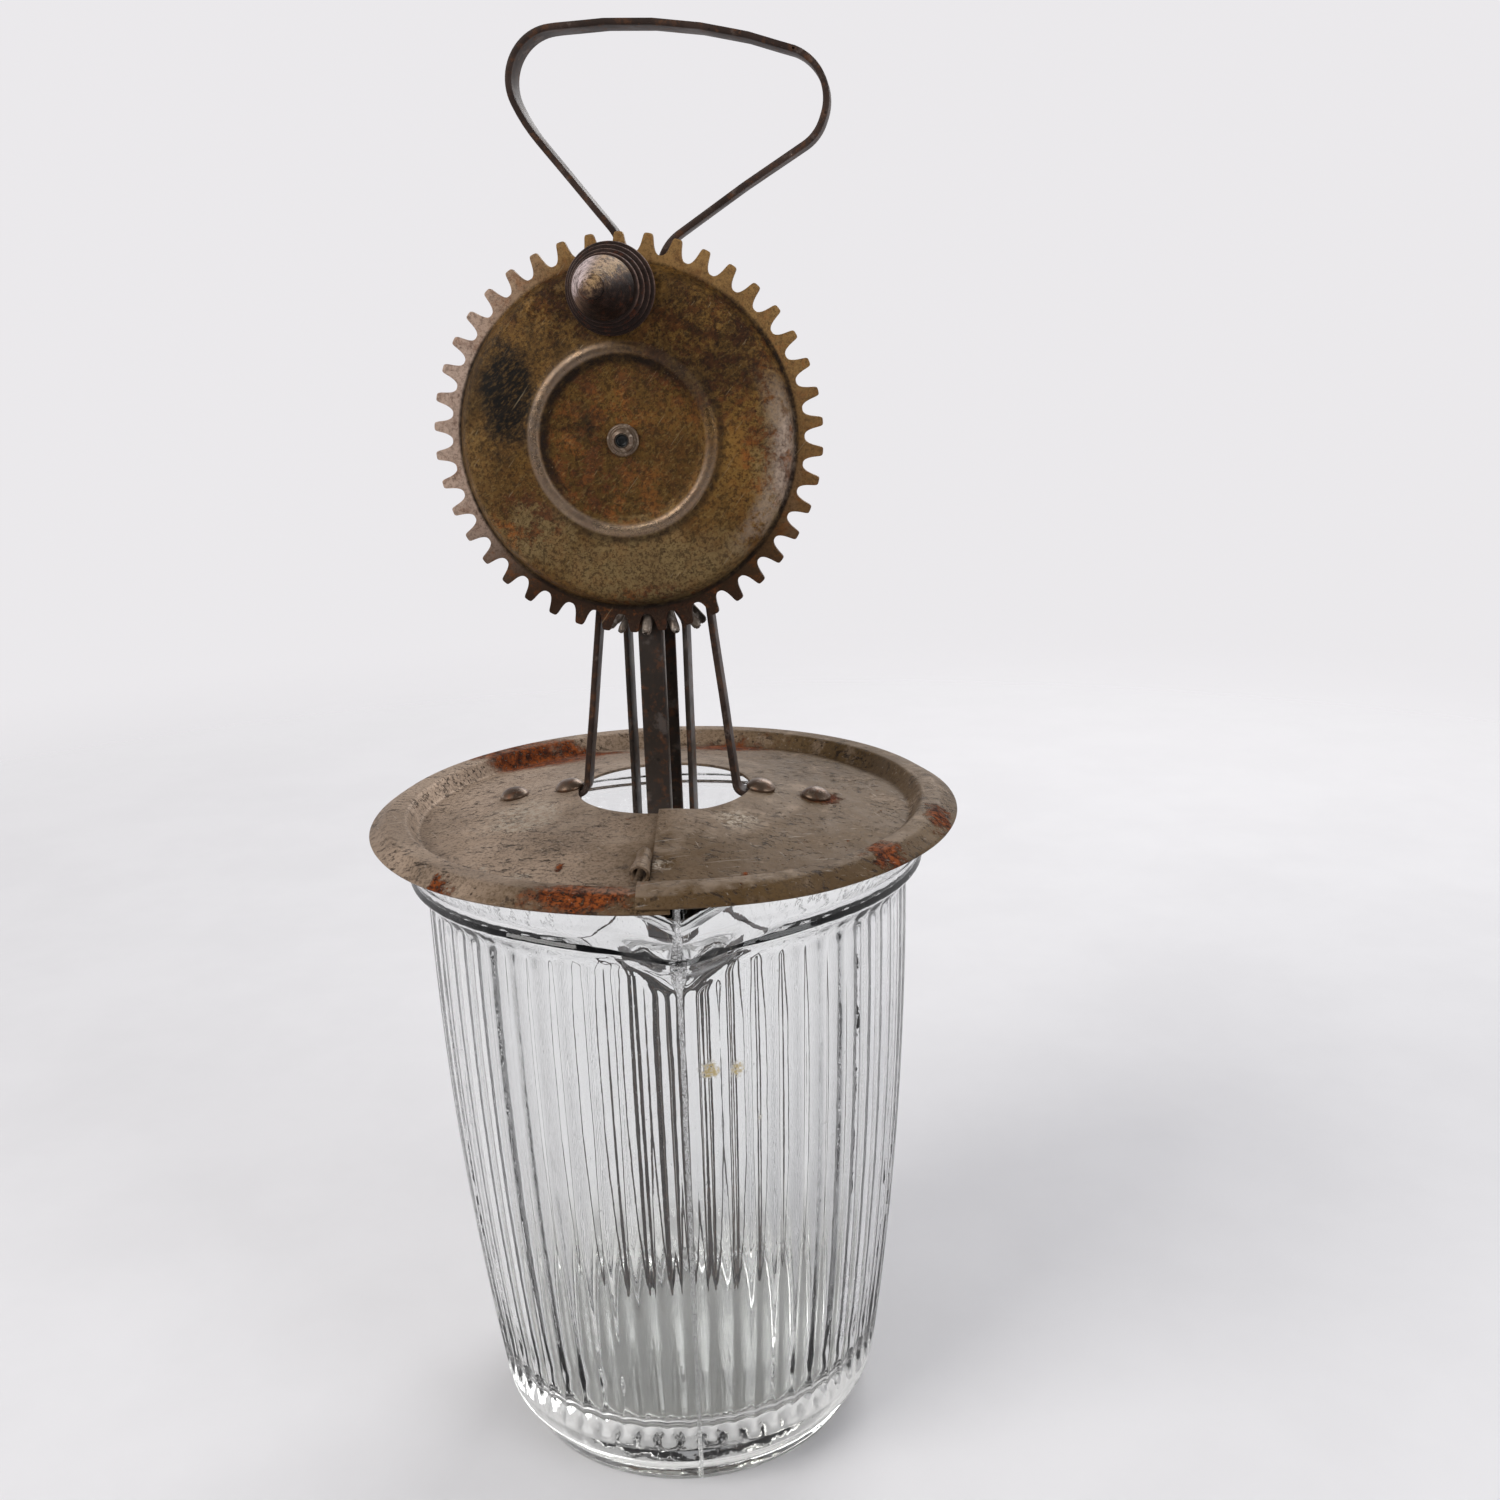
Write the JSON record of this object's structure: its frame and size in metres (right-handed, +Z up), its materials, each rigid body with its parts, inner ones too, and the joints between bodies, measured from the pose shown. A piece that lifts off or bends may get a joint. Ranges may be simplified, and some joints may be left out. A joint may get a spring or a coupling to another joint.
{
  "type": "crank mayonnaise mixer jar",
  "caption": "Hand-cranked mixer jar: fluted glass jar with pouring spout, tin lid, strip handle frame, toothed crank wheel with knob, slant-finger pinion and bent-strip dasher.",
  "frame": {"origin": "centre of the jar's foot, on the table", "axes": "+Z up along the jar's axis; the crank wheel and its knob are on the -Y side; +X is to the right when the wheel faces the viewer"},
  "size_m": [0.122, 0.122, 0.2901],
  "materials": {
    "clear_glass": "pressed clear glass, fluted",
    "tin_plate": "old tin plate, dull and scratched, some rust",
    "steel_rivets": "dull bronze-grey rivet heads",
    "dark_strip": "dark oxidised steel strip",
    "wheel_steel": "olive-bronze oxidised steel, brushed and mottled",
    "knob_iron": "dark purplish iron, worn on the tip",
    "bright_steel": "worn bare steel",
    "pinion_steel": "worn bright steel with dark recesses",
    "dasher_steel": "dark steel strip with brown rust"
  },
  "bodies": {
    "jar": {"glass_jar": "clear_glass"},
    "mixer_head": {"lid": "tin_plate", "foot_rivets": "steel_rivets", "handle_frame": "dark_strip", "gear_bracket": "dark_strip", "bracket_rivets": "steel_rivets", "axle_bush": "bright_steel", "center_rod": "bright_steel", "rod_top_washer": "bright_steel", "thrust_washer": "bright_steel", "foot_washer": "bright_steel"},
    "drive_wheel": {"drive_gear": "wheel_steel", "axle": "bright_steel", "axle_collar": "bright_steel", "hub_washer": "bright_steel", "rear_washer": "bright_steel", "knob_pin": "knob_iron", "knob_washer": "bright_steel"},
    "crank_knob": {"crank_knob": "knob_iron"},
    "dasher": {"pinion": "pinion_steel", "pinion_hub": "pinion_steel", "dasher_outer_loop": "dasher_steel", "dasher_inner_loop": "dasher_steel", "dasher_eyelet": "pinion_steel"}
  },
  "joints": [
    {"name": "head_lift", "type": "slide", "parent": "jar", "child": "mixer_head", "axis": [0, 0, 1], "range_m": [0, 0.13]},
    {"name": "wheel_turn", "type": "hinge", "parent": "mixer_head", "child": "drive_wheel", "pos_m": [-0.0026, -0.0083, 0.21445], "axis": [0, 1, 0], "continuous": true},
    {"name": "knob_turn", "type": "hinge", "parent": "drive_wheel", "child": "crank_knob", "pos_m": [-0.0032, -0.0225, 0.24194], "axis": [0, 1, 0], "continuous": true},
    {"name": "dasher_turn", "type": "hinge", "parent": "mixer_head", "child": "dasher", "pos_m": [0, 0, 0.1], "axis": [0, 0, 1], "continuous": true}
  ],
  "couplings": [
    {"joint": "dasher_turn", "follows": "wheel_turn", "ratio": -4.2}
  ]
}
